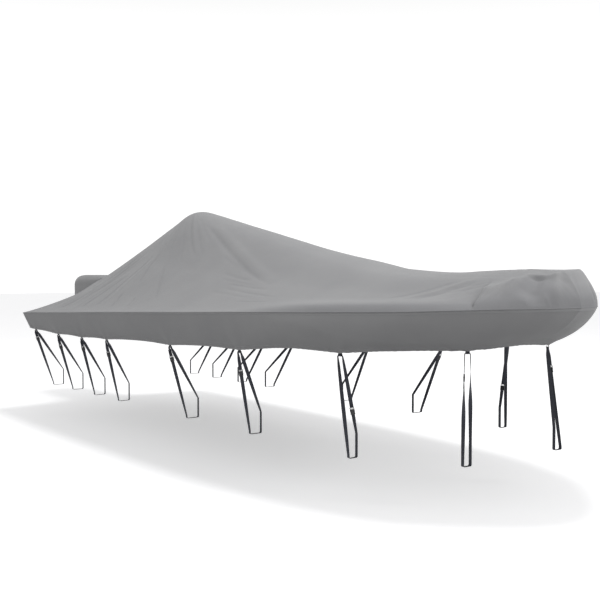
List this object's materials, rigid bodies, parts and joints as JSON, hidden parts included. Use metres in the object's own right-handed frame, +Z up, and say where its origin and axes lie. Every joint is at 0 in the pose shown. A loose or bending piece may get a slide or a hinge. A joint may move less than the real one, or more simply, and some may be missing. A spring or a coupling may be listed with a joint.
{
  "type": "boat cover",
  "caption": "Fitted grey cloth cover for a shallow centre-console boat, with a hood for the outboard motor and tie-down straps round the trailer rails.",
  "frame": {"origin": "the inner face of the cloth under the peak, on the centre line, where the console carries the cover", "axes": "+X along the boat to the bow, +Y to port, +Z up"},
  "size_m": [6.646, 2.33, 1.6963],
  "materials": {
    "cover_cloth": "matt woven polyester",
    "webbing": "woven webbing",
    "buckle_plastic": "moulded, satin"
  },
  "bodies": {
    "root": {"top_panel": "cover_cloth", "side_skirt": "cover_cloth", "motor_hood": "cover_cloth", "tab_s1": "webbing", "strap_s1": "webbing", "buckle_s1": "buckle_plastic", "tab_s2": "webbing", "strap_s2": "webbing", "buckle_s2": "buckle_plastic", "tab_s3": "webbing", "strap_s3": "webbing", "buckle_s3": "buckle_plastic", "tab_s4": "webbing", "strap_s4": "webbing", "buckle_s4": "buckle_plastic", "tab_s5": "webbing", "strap_s5": "webbing", "buckle_s5": "buckle_plastic", "tab_s6": "webbing", "strap_s6": "webbing", "buckle_s6": "buckle_plastic", "tab_s7": "webbing", "strap_s7": "webbing", "buckle_s7": "buckle_plastic", "tab_s8": "webbing", "strap_s8": "webbing", "buckle_s8": "buckle_plastic", "tab_p1": "webbing", "strap_p1": "webbing", "buckle_p1": "buckle_plastic", "tab_p2": "webbing", "strap_p2": "webbing", "buckle_p2": "buckle_plastic", "tab_p3": "webbing", "strap_p3": "webbing", "buckle_p3": "buckle_plastic", "tab_p4": "webbing", "strap_p4": "webbing", "buckle_p4": "buckle_plastic", "tab_p5": "webbing", "strap_p5": "webbing", "buckle_p5": "buckle_plastic", "tab_p6": "webbing", "strap_p6": "webbing", "buckle_p6": "buckle_plastic", "tab_p7": "webbing", "strap_p7": "webbing", "buckle_p7": "buckle_plastic", "tab_p8": "webbing", "strap_p8": "webbing", "buckle_p8": "buckle_plastic"}
  },
  "joints": []
}
